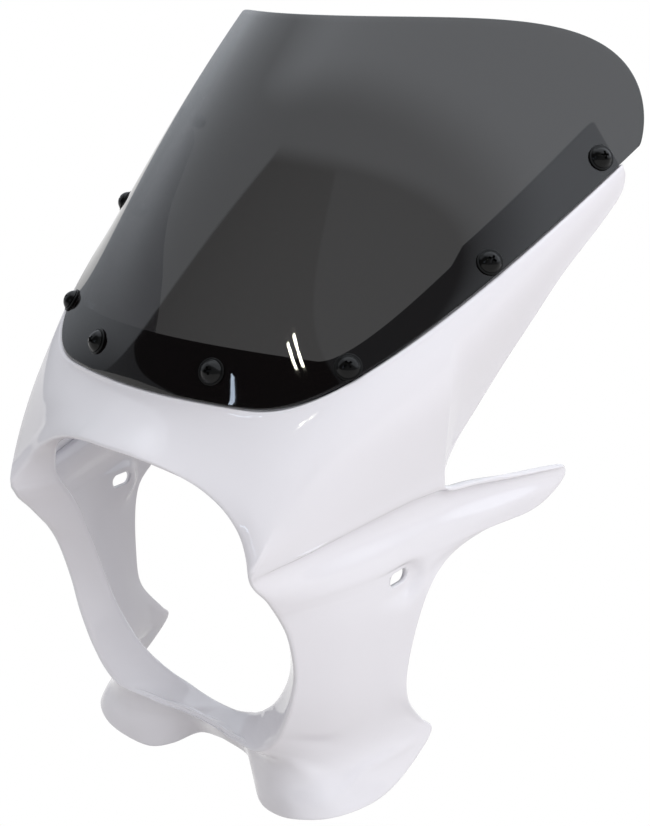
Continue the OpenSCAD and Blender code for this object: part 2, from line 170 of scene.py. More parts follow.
# The screen's foot is level up to FOOT_X and rises from there, and its top falls to a rounded end at TOP_X
FOOT_X, FOOT_RISE, FOOT_POWER = 60, 106, 2.4
TOP_X, TOP_SIDE, TOP_RISE = 163.25, 113, 67


def foot_z(x):
    return on_screen(FOOT_RISE * (max(x - FOOT_X, 0) / 100) ** FOOT_POWER)


def top_z(x):
    return on_screen(TOP_SIDE + TOP_RISE * max(1 - (x / TOP_X) ** 6, 0) ** 0.68)


# The band's upper edge: low in the middle, a jog near the third screw, and a slanting end with a round corner
BAND_H, BAND_X, BAND_RISE, BAND_POWER, BAND_CROWN = 24.5, 88, 0.0666, 1.83, 4.5
JOG_X, JOG_H, JOG_RUN = 121.5, 8, 24
END_X, END_H, END_SLOPE, END_ROUND = 145.5, 128, 1.52, 2.6


def band_z(x):
    low = BAND_H + BAND_RISE * max(x - BAND_X, 0) ** BAND_POWER + BAND_CROWN * max(1 - (x / BAND_X) ** 2, 0)
    jog = JOG_H * max(1 - (x - JOG_X) / JOG_RUN, 0) if x > JOG_X else 0
    a, b = low + jog, END_H - END_SLOPE * (x - END_X)
    return on_screen(min(a, b) - END_ROUND * math.log1p(math.exp(-abs(a - b) / END_ROUND)))


# Lower border of the upper skin: the arch over the lamp (across, back and down from its top), the crease that
# runs back from the arch's corner, and the arm's rear edge
ARCH_FALL = [
    (0, 0, 0), (18, 1.5, 0.9), (31.5, 5, 4.5), (46, 9, 9.5), (58, 11.5, 15), (70, 12.5, 22.7),
    (79.5, 12, 32.5), (86.5, 8.5, 42), (91, 4.5, 49.5)]
ARCH = [arr(x, LIP_Y + y, ARCH_H - z) for x, y, z in ARCH_FALL]
CREASE = [ARCH[-1], arr(98, -64, 32.8), arr(105.2, -32, 37.8), arr(113.5, 4, 43), arr(118, 28.4, 45)]
ARM_REAR = [CREASE[-1]] + [arr(*p) for p in (
    (118, 28.2, 51.5), (119, 36, 66), (124, 50, 86), (132, 64, 110.5), (140, 74, 130.5), (148, 89, 154),
    (157, 115, 181), (160.5, 126.5, 195), (162.2, 125, 205))]
ARCH_N, CREASE_N, ARM_N = 5, len(CREASE) - 1, len(ARM_REAR) - 1
UPPER_N = ARCH_N + CREASE_N + ARM_N
# Where each station of the upper skin meets the screen's foot and ends under the screen, and its fullness
SEAM_X = [
    0, 22, 44, 64, 83, 101, 108, 114.5, 121, 127.5, 128.7, 130, 134, 139.5, 144.5, 149.5, 156, 159, 160.4]
RIM_X = [
    0, 24, 45, 61, 76, 92, 97, 102.5, 109, 115.5, 117, 118.5, 122.5, 127.5, 133, 138.5, 144, 145.5, 147]
SWELL = [
    (0, 0, -1), (0, 0, -1), (0.5, 0, 0), (2, 0, 0), (6, -2, 1), (7, -1, 2), (4, -1, 0), (3, -1, 0), (2, 0, 0),
    (1, 0, 0), (1, 0, 0), (1, 0, 0), (0.5, 0, 0), (0.5, 0, 0)]
SWELL = [arr(*v) for v in SWELL] + [arr(0, 0, 0)] * (UPPER_N + 1 - len(SWELL))


def lower_border(s):
    if s <= ARCH_N:
        return curve(ARCH, s * (len(ARCH) - 1) / ARCH_N)
    if s <= ARCH_N + CREASE_N:
        return curve(CREASE, s - ARCH_N)
    return curve(ARM_REAR, s - ARCH_N - CREASE_N)


def seam(s):
    x = rail(SEAM_X, s)
    return arr(x, foot_z(x))


def rim(s, short=1.5):
    x = rail(RIM_X, s)
    return arr(x, band_z(x) - short)


# Stations of the lower skin, from the arch's corner down to the middle of the chin:
# inner edge of the return, ridge, belly, outer edge, and the fullness before and behind the belly
LOWER = [
    [(75, -74, 33), CREASE[0], CREASE[-1], (WINGLET_X, WINGLET_Y - 3, 31.8), (0, 0, 0), (0, 0, -0.8)],
    [(75, -72.5, 29.8), (90.4, -97.3, 27.2), (115.2, 29.5, 37.5), (WINGLET_X, WINGLET_Y, 29.6),
        (0.6, 5.4, 2.3), (-1.6, 0, -0.5)],
    [(75, -69.5, 25.5), (91, -94.5, 22.5), (114.4, 29, 30), (WINGLET_X + 0.2, WINGLET_Y + 0.7, 26.5),
        (0.2, 5, 1.6), (-1.4, 0, -0.5)],
    [(75, -62, 12), (91.5, -87.5, 15), (116, 25, 21), (WINGLET_X - 0.7, WINGLET_Y - 5, 20.3),
        (2.5, 3.4, -0.2), (0.8, 0, 0)],
    [(75, -58, 1), (90.8, -82, 8), (116.4, 20.5, 11), (WINGLET_X - 4.5, WINGLET_Y - 25, 11.3),
        (4, 2.4, -0.4), (0, 0, 1)],
    [(74.9, -56.5, -4), (90.4, -79, 4), (116.2, 19, 5.5), (WINGLET_X - 13, WINGLET_Y - 62, 9.6),
        (4.2, 2.2, 0), (0, 0, 0.5)],
    [(74.8, -55, -9), (90, -76, 0), (115.8, 16, 0), (117.5, 38, 1), (4.4, 2, 0), (0, 0, 0)],
    [(74.5, -51, -21), (90.2, -69, -13), (113.8, 4, -11), (116.5, 20, -13), (4.5, 2, 0), (0, 0, 0)],
    [(72, -45.5, -44), (88.5, -61.5, -40), (108, -6, -50), (111, 10, -58), (4, 1, 0), (0, 0, 0)],
    [(66.5, -42.6, -60), (84, -60.3, -60), (105, -5, -73), (110, 12, -80), (4, 0, 0), (0, 0, 0)],
    [(57.5, -40, -75), (77, -59.4, -78), (101, -2, -95), (109, 29, -103), (4, -1, 0), (0, 0, 0)],
    [(53, -39.2, -80.5), (73, -58.9, -85.5), (98, -4, -104), (110.8, 36.5, -111), (3, 0, 0), (1, 0, 1)],
    [(48.5, -37.8, -85), (69, -58.7, -91), (97.5, -10, -111), (110.5, 22, -123.5),
        (2.5, 0.5, 0), (1.5, -0.5, 0)],
    [(44, -36.3, -89), (64.5, -58.4, -95.5), (93, -22, -119), (107.5, -8, -136),
        (1.5, 1.5, 0.5), (1.5, -1.5, -0.5)],
    [(41, -34.8, -91.7), (60, -58.2, -98.7), (85, -37, -121), (96, -38, -138), (1, 3, 1), (0.5, -1, 0)],
    [(38, -33.5, -94), (55, -57.6, -101.5), (72, -44.5, -123), (78, -48.5, FLAP_Z + 8.5),
        (0.5, 4, 1.5), (0, -0.5, 0)],
    [(32, -30.8, -98.3), (48, -56, -103.5), (57, -45.5, -125), (60, -46.5, FLAP_Z + 2.5),
        (0.5, 4.5, 2), (0, -0.5, 0)],
    [(24, -27, -103), (37, -52.5, -106), (43, -41, -124), (45, -42, FLAP_Z + 0.5),
        (0.6, 4.5, 3), (0, 0, 0)],
    [(16.5, -25, -106.5), (26.5, -49.8, -108), (31, -36.5, -123.5), (33.5, -34, -146.3),
        (0.3, 3.2, 2.2), (0, 0, 0)],
    [(9, -23, -109.3), (16, -46.5, -109.3), (19.5, -31, -121.5), (21, -24, -138.7), (0, 2, 1.5), (0, 0, 0)],
    [(0, -22, -110.5), (0, -44.5, -110), (0, -33, -121), (0, -25.5, -133), (0, 1, 1), (0, 0, 0)],
]
LOWER = [[arr(*p) for p in row] for row in LOWER]
LOWER_N = len(LOWER) - 1


def line_of(k):
    return [row[k] for row in LOWER]


def lower_knots(s):
    r, n, o, b, c = (curve(line_of(k), s) for k in (1, 2, 3, 4, 5))
    return [r, r + (n - r) * 0.45 + b, n, n + (o - n) * 0.5 + c, o]


def arch_return(s):
    """inner edge of the lip along the arch: a plain edge at the top, which widens to the corner"""
    w = (s / ARCH_N) ** 2.2
    r = lower_border(s)
    return r + (LOWER[0][0] - CREASE[0]) * w + arr(0, -0.5, -2) * (1 - w)


U_LAST = UPPER_N * U_STEPS
CORNER = ARCH_N * U_STEPS
BELLY = CREASE_N * U_STEPS
ARM_FOOT = CORNER + BELLY
BELLY_END = STRIP_STEPS + BELLY


def upper_row(s):
    a, q = lower_border(s), seam(s)
    d, n = face(*q), face_normal(*q)
    w = d - a
    along = unit(w - n * np.dot(w, n))
    p1 = a + w / 3 + curve(SWELL, s)
    p2 = d - along * np.linalg.norm(w) / 3
    t = np.linspace(0, 1, FACE_STEPS + 1)[:, None]
    u = 1 - t
    return u ** 3 * a + 3 * u * u * t * p1 + 3 * u * t * t * p2 + t ** 3 * d


def flange_row(s, depth):
    t = np.linspace(0.01, 1, FLANGE_STEPS + 1)[:, None]
    a, b = seam(s), rim(s)
    return sunk(a + (b - a) * t, depth)


def strip_row(s):
    e, r = arch_return(s), lower_border(s)
    return [e + (r - e) * k / STRIP_STEPS for k in range(STRIP_STEPS + 1)]


# How far the winglet's upper edge drops just behind the arm, and how soon it starts and ends
NOTCH_DEPTH, NOTCH_START, NOTCH_RUN = 4.2, 2.5, 22


def notch(d):
    return NOTCH_DEPTH * (1 - math.exp(-d / NOTCH_START)) * math.exp(-d / NOTCH_RUN) if d > 0 else 0


def lower_row(s):
    k, e = lower_knots(s), curve(line_of(0), s)
    row = [e + (k[0] - e) * j / STRIP_STEPS for j in range(STRIP_STEPS)]
    w, k0 = max(1 - s, 0) ** 2, lower_knots(0)
    for j in range(BELLY):
        to_crease = curve(CREASE, j / U_STEPS) - curve(k0, 2 * j / BELLY)
        row.append(curve(k, 2 * j / BELLY) + to_crease * w)
    for j in range(2 * EDGE_STEPS + 1):
        q = curve(k, 2 + j / EDGE_STEPS)
        row.append(q - arr(0, 0, notch(q[1] - k[2][1]) * max(1 - s, 0)))
    return row


def grid_normals(g, mirror_start=False, mirror_end=False):
    a = np.concatenate([(g[1:2] * MIRROR) if mirror_start else g[:1], g[:-1]])
    b = np.concatenate([g[1:], (g[-2:-1] * MIRROR) if mirror_end else g[-1:]])
    c = np.concatenate([g[:, 1:], g[:, -1:]], 1) - np.concatenate([g[:, :1], g[:, :-1]], 1)
    return unit(np.cross(b - a, c))


upper_face = np.array([upper_row(i / U_STEPS) for i in range(U_LAST + 1)])
strip = np.array([strip_row(i / U_STEPS) for i in range(CORNER + 1)])
lower = np.array([lower_row(i / C_STEPS) for i in range(LOWER_N * C_STEPS + 1)])

# The body line: a crest along the crease, with a shallow cove under it that runs on into the winglet
CREST_H, CREST_DOWN, CREST_UP = 1.6, 3, 6
CREST_TAIL, CREST_TAIL_FADE = 11, 3.0
COVE_DEPTH, COVE_START, COVE_RUN = 4.4, 2.5, 9
COVE_STATIONS = 6
CREASE_COLUMNS = (STRIP_STEPS + 1, STRIP_STEPS + 0.35 * BELLY), (BELLY_END + 4, BELLY_END + 18)
column_at = np.arange(lower.shape[1])
row_at = np.arange(lower.shape[0])
along_crease = hump(*CREASE_COLUMNS, column_at)
near_crease = np.where(row_at < COVE_STATIONS * C_STEPS, 1.0, 0.0)[:, None] * along_crease[None, :]
below = np.linalg.norm(lower - lower[:1], axis=-1)
cove = COVE_DEPTH * (1 - np.exp(-below / COVE_START)) * np.exp(-below / COVE_RUN) * near_crease
crest_low = CREST_H * np.exp(-below / CREST_DOWN) * near_crease
lower = lower + grid_normals(lower, False, True) * (crest_low - cove)[..., None]

# The cheek runs down into the flap in a soft bend: rows and columns between which it starts and ends
BEND_BLUR = 8.0
BEND_ROWS = (88, 104), (124, 142)
BEND_COLUMNS = (BELLY_END - 24, BELLY_END - 8), (BELLY_END + 16, BELLY_END + 26)
row_blur = np.exp(-((row_at[:, None] - row_at[None, :]) / BEND_BLUR) ** 2 / 2)
row_blur = row_blur / row_blur.sum(1, keepdims=True)
blurred = np.einsum("ab,bjk->ajk", row_blur, lower)
bend_share = (hump(*BEND_ROWS, row_at)[:, None] * hump(*BEND_COLUMNS, column_at)[None, :])[..., None]
lower = lower * (1 - bend_share) + blurred * bend_share

# A low ridge crosses the flap from its rear tip to its foot
RIDGE_H, RIDGE_W = 0.8, 2.6
RIDGE_FIRST_ROW, RIDGE_COLUMNS = 80, (STRIP_STEPS + 4, STRIP_STEPS + 12)
RIDGE = [
    arr(107.6, 18, -114), arr(103.6, 1.3, -115.6), arr(97.9, -13.7, -118.7), arr(95.4, -26.8, -125.8),
    arr(94, -34, -137)]
ridge_gap = np.full(lower.shape[:2], 1e3)
for p0, p1 in zip(RIDGE[:-1], RIDGE[1:]):
    share = np.clip(((lower - p0) @ (p1 - p0)) / ((p1 - p0) @ (p1 - p0)), 0, 1)
    ridge_gap = np.minimum(ridge_gap, np.linalg.norm(lower - p0 - share[..., None] * (p1 - p0), axis=-1))
on_flap = np.where(row_at > RIDGE_FIRST_ROW, 1.0, 0.0)[:, None] * smoothstep(*RIDGE_COLUMNS, column_at)[None, :]
ridge = RIDGE_H * np.exp(-(ridge_gap / RIDGE_W) ** 2) * on_flap
lower = lower + grid_normals(lower, False, True) * ridge[..., None]

# The upper side of the crest, which fades up the hood and back along the arm's foot
above = np.linalg.norm(upper_face - upper_face[:, :1], axis=-1)
crest_up = CREST_H * np.exp(-above / CREST_UP)
fade_back = np.zeros(U_LAST + 1)
fade_back[CORNER:ARM_FOOT + 1] = along_crease[STRIP_STEPS:BELLY_END + 1]
tail = np.arange(1, CREST_TAIL + 1)
fade_back[ARM_FOOT + tail] = np.exp(-tail / CREST_TAIL_FADE)
upper_face = upper_face + grid_normals(upper_face, True, False) * (crest_up * fade_back[:, None])[..., None]
crease_line = (upper_face[CORNER:ARM_FOOT + 1, 0] + lower[0, STRIP_STEPS:BELLY_END + 1]) / 2
upper_face[CORNER:ARM_FOOT + 1, 0] = crease_line
lower[0, STRIP_STEPS:BELLY_END + 1] = crease_line

# Normals of the three grids: near the arm's top they stay as they are a little lower,
# and shared borders take the mean of both sides
ARM_TOP = 15
upper_n = grid_normals(upper_face, True, False)
upper_n[U_LAST - ARM_TOP + 1:] = upper_n[U_LAST - ARM_TOP]
strip_n = grid_normals(strip, True, False)
lower_n = grid_normals(lower, False, True)
for i in range(ARM_FOOT + 1):
    column = STRIP_STEPS + i - CORNER
    if i < CORNER:
        m = unit(upper_n[i, 0] + strip_n[i, STRIP_STEPS])
        upper_n[i, 0] = strip_n[i, STRIP_STEPS] = m
    elif i > CORNER:
        m = unit(upper_n[i, 0] + lower_n[0, column])
        upper_n[i, 0] = lower_n[0, column] = m
    else:
        m = unit(upper_n[i, 0] + strip_n[i, STRIP_STEPS] + lower_n[0, column])
        upper_n[i, 0] = strip_n[i, STRIP_STEPS] = lower_n[0, column] = m
for j in range(STRIP_STEPS):
    strip_n[CORNER, j] = lower_n[0, j] = unit(strip_n[CORNER, j] + lower_n[0, j])

# Outer and inner faces: the upper skin steps down under the screen into its flange
face_depth = np.full(FACE_STEPS + 1, SKIN_T)
face_depth[-1] += STEP_DEPTH
face_in = upper_face - upper_n * face_depth[None, :, None]
flange_out = np.array([flange_row(i / U_STEPS, STEP_DEPTH) for i in range(U_LAST + 1)])
flange_in = np.array([flange_row(i / U_STEPS, STEP_DEPTH + SKIN_T) for i in range(U_LAST + 1)])
down_wall = np.linspace(0, 1, WALL_STEPS + 1)[1:-1]
wall = np.stack([upper_face[:, -1] * (1 - t) + flange_out[:, 0] * t for t in down_wall], 1)
upper_out = np.concatenate([upper_face, wall, flange_out], 1)
upper_in = np.concatenate([face_in, flange_in], 1)
strip_in = strip - strip_n * SKIN_T
lower_in = lower - lower_n * SKIN_T
seam_in = np.repeat(face_in[U_LAST, -1:], WALL_STEPS - 1, 0)
end_out = upper_out[U_LAST]
end_in = np.concatenate([face_in[U_LAST], seam_in, flange_in[U_LAST]])

# The soft recess in each cheek: how far its round end lies behind the slot's, how softly its wall starts, how
# much of the skin's thickness it is wider inside, how near its floor it is felt, and the box it stays in
RECESS_BACK, RECESS_ROUND, RECESS_WIDER, RECESS_FELT = 3.5, 0.8, 0.42, 4
RECESS_X, RECESS_FRONT, RECESS_REAR, RECESS_UP = 80, -45, 40, 40


def dish(grid, floor_x, r):
    """the skin is held down to the pad's floor, with walls at 45 degrees"""
    g = grid.copy()
    x, y, z = g[..., 0], g[..., 1], g[..., 2]
    back_y = SLOT_LEN / 2 + RECESS_BACK - PAD_W / 2
    d = np.hypot(np.maximum(y - back_y, 0), z + PAD_DROP)
    limit = floor_x + np.maximum(d - r, 0)
    near = (x > RECESS_X) & (y > RECESS_FRONT) & (y < RECESS_REAR) & (abs(z) < RECESS_UP)
    near = near & (limit - x < RECESS_FELT)
    g[..., 0] = np.where(near, (x + limit - np.sqrt((x - limit) ** 2 + RECESS_ROUND)) / 2, x)
    return g


lower = dish(lower, HALF_W, PAD_W / 2)
lower_in = dish(lower_in, HALF_W - SKIN_T, PAD_W / 2 + RECESS_WIDER * SKIN_T)


def cells(g):
    rows, columns = len(g) - 1, len(g[0]) - 1
    return [(g[i, j], g[i, j + 1], g[i + 1, j + 1], g[i + 1, j]) for i in range(rows) for j in range(columns)]


def back(quads):
    return [q[::-1] for q in quads]


def ribbon(a, b, steps=3):
    rows = [a + (b - a) * k / steps for k in range(steps + 1)]
    out = []
    for r, q in zip(rows[:-1], rows[1:]):
        out += [(r[i], r[i + 1], q[i + 1], q[i]) for i in range(len(a) - 1)]
    return out


skin_quads = (
    cells(upper_out) + back(cells(upper_in))
    + cells(strip) + back(cells(strip_in))
    + cells(lower) + back(cells(lower_in))
    + back(ribbon(upper_out[:, -1], upper_in[:, -1]))
    + ribbon(upper_out[ARM_FOOT:, 0], upper_in[ARM_FOOT:, 0])
    + ribbon(end_out, end_in)
    + ribbon(strip[:, 0], strip_in[:, 0])
    + ribbon(lower[:, 0], lower_in[:, 0])
    + back(ribbon(lower[0, BELLY_END:], lower_in[0, BELLY_END:]))
    + back(ribbon(lower[:, -1], lower_in[:, -1]))
)


def merged(quads):
    """the quads and their mirror images, with points that coincide to a micrometre made one"""
    q = np.array(quads)
    q = np.concatenate([q, (q * MIRROR)[:, ::-1]])
    pts = q.reshape(-1, 3)
    _, index, inverse = np.unique(np.round(pts, 3) + 0.0, axis=0, return_index=True, return_inverse=True)
    faces = []
    for corners in inverse.reshape(-1, 4):
        f = list(dict.fromkeys(int(v) for v in corners))
        if len(f) >= 3:
            faces.append(f)
    return pts[index], faces


def edges_of(faces):
    return np.array(sorted({(min(a, b), max(a, b)) for f in faces for a, b in zip(f, f[1:] + f[:1])}))


def relaxed(verts, edges):
    """each point moves halfway to the mean of its neighbours"""
    total = np.zeros_like(verts)
    count = np.zeros(len(verts))
    for a, b in ((0, 1), (1, 0)):
        np.add.at(total, edges[:, a], verts[edges[:, b]])
        np.add.at(count, edges[:, a], 1)
    return verts + 0.5 * (total / count[:, None] - verts)


def mesh_from_quads(name, quads, smooth=0):
    verts, faces = merged(quads)
    edges = edges_of(faces)
    for _ in range(smooth):
        verts = relaxed(verts, edges)
    me = bpy.data.meshes.new(name)
    me.from_pydata((verts / 1000).tolist(), [], faces)
    me.validate()
    me.shade_smooth()
    me.set_sharp_from_angle(angle=SHARP_ANGLE)
    return add_object(name, me)


def cutter(build):
    bm = bmesh.new()
    build(bm)
    me = bpy.data.meshes.new("cutter")
    bm.to_mesh(me)
    bm.free()
    return add_object("cutter", me)


def cut(ob, other):
    """takes the other object's shape out of the first, and deletes the other"""
    m = ob.modifiers.new("cut", "BOOLEAN")
    m.operation, m.object, m.solver = "DIFFERENCE", other, "EXACT"
    bpy.context.view_layer.update()
    deps = bpy.context.evaluated_depsgraph_get()
    me = bpy.data.meshes.new_from_object(ob.evaluated_get(deps))
    me.set_sharp_from_angle(angle=SHARP_ANGLE)
    ob.modifiers.clear()
    ob.data = me
    bpy.data.objects.remove(other)


# Screws: places on the screen's face (x, drawn height), from the middle outwards and up. Their holes: how deep
# the middle lies under that face, and how long the cut is. The slots: how far the cut runs in and out.
SCREW_AT = [(42, 15.7), (101.6, 21.6), (133.3, 65.1), (152.4, 110.3)]
SHELL_HOLE, SCREEN_HOLE = (6, 14), (2, 10)
SLOT_IN, SLOT_OUT = 12, 15
HOLE_SIDES, SLOT_SIDES = 32, 48


def screw_frames():
    """side, number, place and outward way of each screw"""
    out = []
    for side, sign in (("right", 1), ("left", -1)):
        for k, (x, h) in enumerate(SCREW_AT, 1):
            p, n = face(x, on_screen(h)), face_normal(x, on_screen(h))
            out.append((side, k, Vector((p[0] * sign, p[1], p[2])), Vector((n[0] * sign, n[1], n[2]))))
    return out


def upright_to(n):
    return Vector((0, 0, 1)).rotation_difference(n).to_matrix().to_4x4()


def screw_holes(bm, depth, length):
    r = (SCREW_D / 2 + FIT) / 1000
    for _, _, p, n in screw_frames():
        place = Matrix.Translation((p - n * depth) / 1000) @ upright_to(n)
        bmesh.ops.create_cone(bm, cap_ends=True, segments=HOLE_SIDES, radius1=r, radius2=r,
                              depth=length / 1000, matrix=place)


def side_slot(bm, side):
    run = (SLOT_LEN - SLOT_W) / 2
    ring = []
    for k in range(SLOT_SIDES):
        a = 2 * math.pi * (k + 0.5) / SLOT_SIDES
        y = SLOT_W / 2 * math.cos(a) + (run if math.cos(a) > 0 else -run)
        ring.append((y / 1000, SLOT_W / 2 * math.sin(a) / 1000))
    low = [bm.verts.new((side * (HALF_W - SLOT_IN) / 1000, y, z)) for y, z in ring]
    high = [bm.verts.new((side * (HALF_W + SLOT_OUT) / 1000, y, z)) for y, z in ring]
    bm.faces.new(low)
    bm.faces.new(high[::-1])
    for k in range(SLOT_SIDES):
        n = (k + 1) % SLOT_SIDES
        bm.faces.new((low[k], high[k], high[n], low[n]))


def shell_cuts(bm):
    for side in (1, -1):
        side_slot(bm, side)
    bmesh.ops.recalc_face_normals(bm, faces=bm.faces)
    screw_holes(bm, *SHELL_HOLE)


def screen_cuts(bm):
    screw_holes(bm, *SCREEN_HOLE)


# How far the brow's normals are averaged, in steps, how much they tip up, how near the brow a point lies, in
# metres, and the stations and the shares of the height between which the brow starts and ends
BROW_BLUR, BROW_TILT, BROW_NEAR = 18.0, 0.15, 0.0012
BROW_STATIONS, BROW_HEIGHTS = ((0.8, 2.8), (8, 11)), ((0.02, 0.3), (0.88, 1))


def soften_brow(ob):
    """the hood turns into the side in a wide sweep: its shading normals are averaged across the brow"""
    station = np.arange(U_LAST + 1)
    spread = np.exp(-((station[:, None] - station[None, :]) / BROW_BLUR) ** 2 / 2)
    spread = spread / spread.sum(1, keepdims=True)
    wide = unit(np.einsum("ab,bjk->ajk", spread, upper_n))
    s = station[:, None] / U_STEPS
    t = np.arange(FACE_STEPS + 1)[None, :] / FACE_STEPS
    w = hump(*BROW_STATIONS, s) * hump(*BROW_HEIGHTS, t)
    tilt = BROW_TILT * w * smoothstep(0.45, 0.7, t)
    soft = unit(upper_n * (1 - w[..., None]) + wide * w[..., None] + tilt[..., None] * arr(0, 0, 1))
    chosen = w > 0.01
    tree = KDTree(int(chosen.sum()) * 2)
    normals = []
    for side in (1, -1):
        for p, n in zip(upper_face[chosen], soft[chosen]):
            tree.insert((side * p[0] / 1000, p[1] / 1000, p[2] / 1000), len(normals))
            normals.append((side * n[0], n[1], n[2]))
    tree.balance()
    out = []
    for v in ob.data.vertices:
        _, index, distance = tree.find(v.co)
        out.append(normals[index] if distance < BROW_NEAR else (0, 0, 0))
    ob.data.normals_split_custom_set_from_vertices(out)


shell = mesh_from_quads("cowl_shell_skin", skin_quads, smooth=4)
cut(shell, cutter(shell_cuts))
soften_brow(shell)

# The smoked screen: columns across, rows from its foot to its top, and a rim rounded in layers (depth, inset)
COLS, ROWS = 80, 80
EDGE_GAP = 0.6
EDGE_LAYERS = [(0, 0.5), (0.15, 0.15), (0.6, 0), (1.5, 0), (2.4, 0), (2.85, 0.15), (SCREEN_T, 0.5)]


def screen_sheet(depth, inset):
    g = []
    for i in range(COLS + 1):
        x = SCREEN_W * math.sin(math.pi / 2 * i / COLS) * (1 - inset / SCREEN_W)
        top = top_z(x)
        low = min(foot_z(x) + EDGE_GAP * (1 + abs(x) / HALF_W), top)
        low, top = low + inset, top - inset
        if top < low or i == COLS:
            low = top = (low + top) / 2
        column = [(x, low + (top - low) * (j / ROWS) ** 1.3) for j in range(ROWS + 1)]
        g.append(sunk(column, depth))
    return np.array(g)


def sheet_quads(layers):
    """layers run from the outer face to the inner one: the middle ones carry only the rim"""
    out = cells(layers[0]) + back(cells(layers[-1]))
    for p, q in zip(layers[:-1], layers[1:]):
        out += ribbon(p[:, 0], q[:, 0], 1) + back(ribbon(p[:, -1], q[:, -1], 1)) + ribbon(p[-1], q[-1], 1)
    return out


def band_sheet(depth):
    g = []
    for i in range(U_LAST + 1):
        a, b = seam(i / U_STEPS), rim(i / U_STEPS, 0)
        t = np.linspace(0.05, 1, 11)[:, None]
        g.append(sunk(a + (b - a) * t, depth))
    return np.array(g)


screen = mesh_from_quads("windscreen_sheet", sheet_quads([screen_sheet(*layer) for layer in EDGE_LAYERS]))
band_layers = [band_sheet(SCREEN_T + FIT), band_sheet(SCREEN_T + FIT + BAND_T)]
band = mesh_from_quads("screen_band_film", sheet_quads(band_layers))
cut(screen, cutter(screen_cuts))
cut(band, cutter(screen_cuts))

# Fasteners: heights are from the screen's face, outwards
TURN_SIDES = 48
SEAT_GAP = 0.05
HEAD_Z = WASHER_T + 2 * SEAT_GAP
NUT_GAP, SHANK_OUT, TIP_BEVEL = 0.35, 1.5, 0.5
SHANK_END = -(STEP_DEPTH + SKIN_T + NUT_GAP + NUT_H + SHANK_OUT)
THREAD_START, THREAD_TOP = SHANK_END + 0.9, -SCREEN_T - 5
THREAD_PITCH, THREAD_DEPTH = 0.8, 0.35
HEAD_EDGE, HEAD_STEPS = 0.4, 14
WASHER_EDGE, WASHER_PLAY = 0.35, 0.15
CROSS_LONG, CROSS_WIDE, CROSS_TAPER = 0.23 * HEAD_D, 0.06 * HEAD_D, 0.6
TURN_EACH, TURN_LEFT = 37, 20


def lathe(name, profile):
    """a turned piece: profile points are (radius, height) in millimetres, in order along the outline"""
    bm = bmesh.new()
    rings = []
    for r, h in profile:
        angles = [2 * math.pi * k / TURN_SIDES for k in range(TURN_SIDES if r > 0 else 1)]
        ring = [(r * math.cos(a) / 1000, r * math.sin(a) / 1000, h / 1000) for a in angles]
        rings.append([bm.verts.new(point) for point in ring])
    for a, b in zip(rings[:-1], rings[1:]):
        for k in range(TURN_SIDES):
            f = [a[k % len(a)], a[(k + 1) % len(a)], b[(k + 1) % len(b)], b[k % len(b)]]
            f = list(dict.fromkeys(f))
            if len(f) > 2:
                bm.faces.new(f)
    bmesh.ops.recalc_face_normals(bm, faces=bm.faces)
    me = bpy.data.meshes.new(name)
    bm.to_mesh(me)
    bm.free()
    me.shade_smooth()
    return me


def round_corner(r_at, h_at, r, start, end, n=4):
    angles = [math.radians(start + (end - start) * k / n) for k in range(n + 1)]
    return [(r_at + r * math.cos(a), h_at + r * math.sin(a)) for a in angles]


def screw_profile():
    """a bevelled shank with a coarse thread below the screen, and a domed head"""
    shank, r = SCREW_D / 2, HEAD_D / 2
    dome = (r * r + HEAD_H * HEAD_H) / (2 * HEAD_H)
    out = [(0, SHANK_END), (shank - TIP_BEVEL, SHANK_END), (shank, SHANK_END + TIP_BEVEL)]
    h = THREAD_START
    while h < THREAD_TOP:
        out += [(shank, h), (shank - THREAD_DEPTH, h + THREAD_DEPTH), (shank, h + 2 * THREAD_DEPTH)]
        h += THREAD_PITCH
    out += [(shank, HEAD_Z)] + round_corner(r - HEAD_EDGE, HEAD_Z + HEAD_EDGE, HEAD_EDGE, -90, 0)
    for k in range(1, HEAD_STEPS + 1):
        a = math.asin(min(r / dome, 1)) * (1 - k / HEAD_STEPS)
        h = HEAD_Z + HEAD_H - dome + dome * math.cos(a)
        if h > HEAD_Z + 0.5:
            out.append((dome * math.sin(a), h))
    return out


def washer_profile():
    bore, rim_r = SCREW_D / 2 + WASHER_PLAY, WASHER_D / 2 - WASHER_EDGE
    low, high = SEAT_GAP, SEAT_GAP + WASHER_T
    return ([(bore, low)] + round_corner(rim_r, low + WASHER_EDGE, WASHER_EDGE, -90, 0)
            + round_corner(rim_r, high - WASHER_EDGE, WASHER_EDGE, 0, 90) + [(bore, high), (bore, low)])


def cross_cut(bm):
    """a cross-shaped socket, narrower at its bottom, let into the dome"""
    long, wide = CROSS_LONG / 1000, CROSS_WIDE / 1000
    ring = []
    for k in range(4):
        c, s = math.cos(math.pi / 2 * k), math.sin(math.pi / 2 * k)
        ring += [(c * px - s * py, s * px + c * py) for px, py in ((wide, -wide), (long, -wide), (long, wide))]
    low, high = (HEAD_Z + HEAD_H * 0.5) / 1000, (HEAD_Z + HEAD_H + 1) / 1000
    bottom = [bm.verts.new((x * CROSS_TAPER, y * CROSS_TAPER, low)) for x, y in ring]
    top_ring = [bm.verts.new((x, y, high)) for x, y in ring]
    bm.faces.new(bottom[::-1])
    bm.faces.new(top_ring)
    for k in range(len(ring)):
        n = (k + 1) % len(ring)
        bm.faces.new((bottom[k], bottom[n], top_ring[n], top_ring[k]))
    bmesh.ops.recalc_face_normals(bm, faces=bm.faces)


